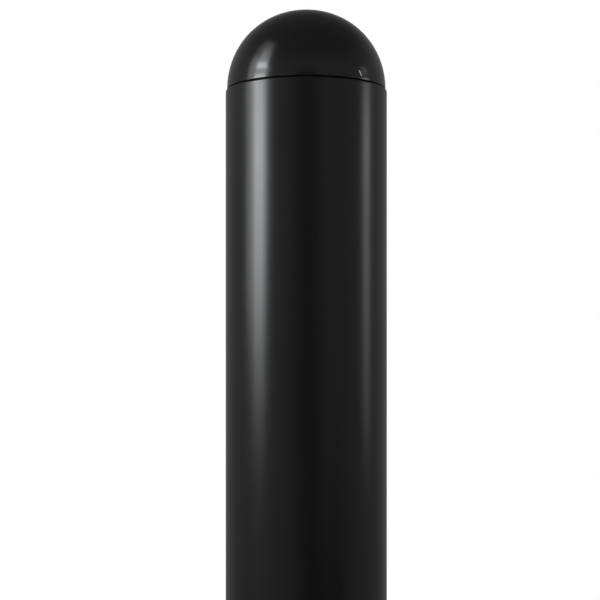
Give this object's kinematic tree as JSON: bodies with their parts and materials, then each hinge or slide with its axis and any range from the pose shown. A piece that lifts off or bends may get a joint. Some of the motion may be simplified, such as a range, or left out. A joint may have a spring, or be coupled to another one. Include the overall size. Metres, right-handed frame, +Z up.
{
  "type": "retractable bollard",
  "caption": "Lift-assisted retractable bollard: a domed black steel post that slides down into a drained ground sleeve with a hinged lid, a key-turned lock bolt and an internal gas strut.",
  "frame": {"origin": "on the post's axis at finished grade, which is the top face of the ground frame", "axes": "+Z up along the post; -Y is the front, where the key barrel is; +Y is the rear, where the lid folds back; +X is to the right seen from the front"},
  "size_m": [0.2844, 0.4962, 2.1211],
  "materials": {
    "black_coat": "satin polyester powder coat",
    "black_cap": "moulded, semi-gloss",
    "galvanised": "hot-dip galvanised, faint spangle",
    "stainless": "brushed stainless",
    "rubber": "matt black rubber",
    "nylon": "turned black nylon",
    "chrome": "hard chrome, ground",
    "brass": "machined, slightly dulled"
  },
  "bodies": {
    "housing": {"sleeve_tube": "galvanised", "collar_plate": "galvanised", "frame_rim": "galvanised", "guide_bush": "nylon", "wiper_seal": "rubber", "retainer_ring": "stainless", "retainer_screw_1": "stainless", "retainer_screw_2": "stainless", "retainer_screw_3": "stainless", "retainer_screw_4": "stainless", "stop_ring": "galvanised", "turn_rail": "galvanised", "base_flange": "galvanised", "base_plate": "galvanised", "base_bolt_1": "stainless", "base_bolt_2": "stainless", "base_bolt_3": "stainless", "base_bolt_4": "stainless", "landing_buffer": "rubber", "drain_socket": "galvanised", "anchor_bar_1": "galvanised", "anchor_bar_2": "galvanised", "anchor_bar_3": "galvanised", "anchor_bar_4": "galvanised", "base_clevis": "galvanised", "clevis_pin": "stainless", "clevis_clip": "stainless", "rod_eye": "stainless", "strut_rod": "chrome", "strut_piston": "brass", "hinge_lug_right": "galvanised", "hinge_lug_left": "galvanised", "hinge_pin": "stainless", "lock_case": "galvanised", "case_screw_1": "stainless", "case_screw_2": "stainless", "bolt_keeper": "stainless", "cover_rivet": "stainless"},
    "post": {"post_tube": "black_coat", "dome_cap": "black_cap", "cap_o_ring": "rubber", "strut_bulkhead": "galvanised", "strut_cylinder": "black_coat", "strut_gland": "stainless", "strut_washer": "stainless", "strut_nut": "stainless", "foot_plate": "galvanised", "guide_shoe": "nylon", "shoe_screw_1": "stainless", "shoe_screw_2": "stainless", "shoe_screw_3": "stainless", "shoe_screw_4": "stainless"},
    "lid": {"lid_plate": "stainless", "lid_knuckle": "stainless", "lid_gasket": "rubber"},
    "key": {"key_barrel": "brass", "barrel_clip": "stainless"},
    "bolt": {"lock_bolt": "stainless"},
    "cover": {"key_cover": "stainless"}
  },
  "joints": [
    {"name": "post_slide", "type": "slide", "parent": "housing", "child": "post", "axis": [0, 0, 1], "range_m": [-0.928, 0], "stiffness_N_per_m": 60, "springref_m": 2.9},
    {"name": "lid_hinge", "type": "hinge", "parent": "housing", "child": "lid", "pos_m": [0, 0.10285, 0.0005], "axis": [1, 0, 0], "range_deg": [0, 100]},
    {"name": "key_turn", "type": "hinge", "parent": "housing", "child": "key", "pos_m": [0, -0.12835, 0], "axis": [0, 0, 1], "range_deg": [0, 90]},
    {"name": "bolt_slide", "type": "slide", "parent": "housing", "child": "bolt", "axis": [0, 1, 0], "range_m": [0, 0.011]},
    {"name": "cover_swing", "type": "hinge", "parent": "housing", "child": "cover", "pos_m": [0.027, -0.12835, 0], "axis": [0, 0, 1], "range_deg": [0, 110]}
  ],
  "couplings": [
    {"joint": "key_turn", "follows": "bolt_slide", "rad_per_m": 142.79}
  ]
}
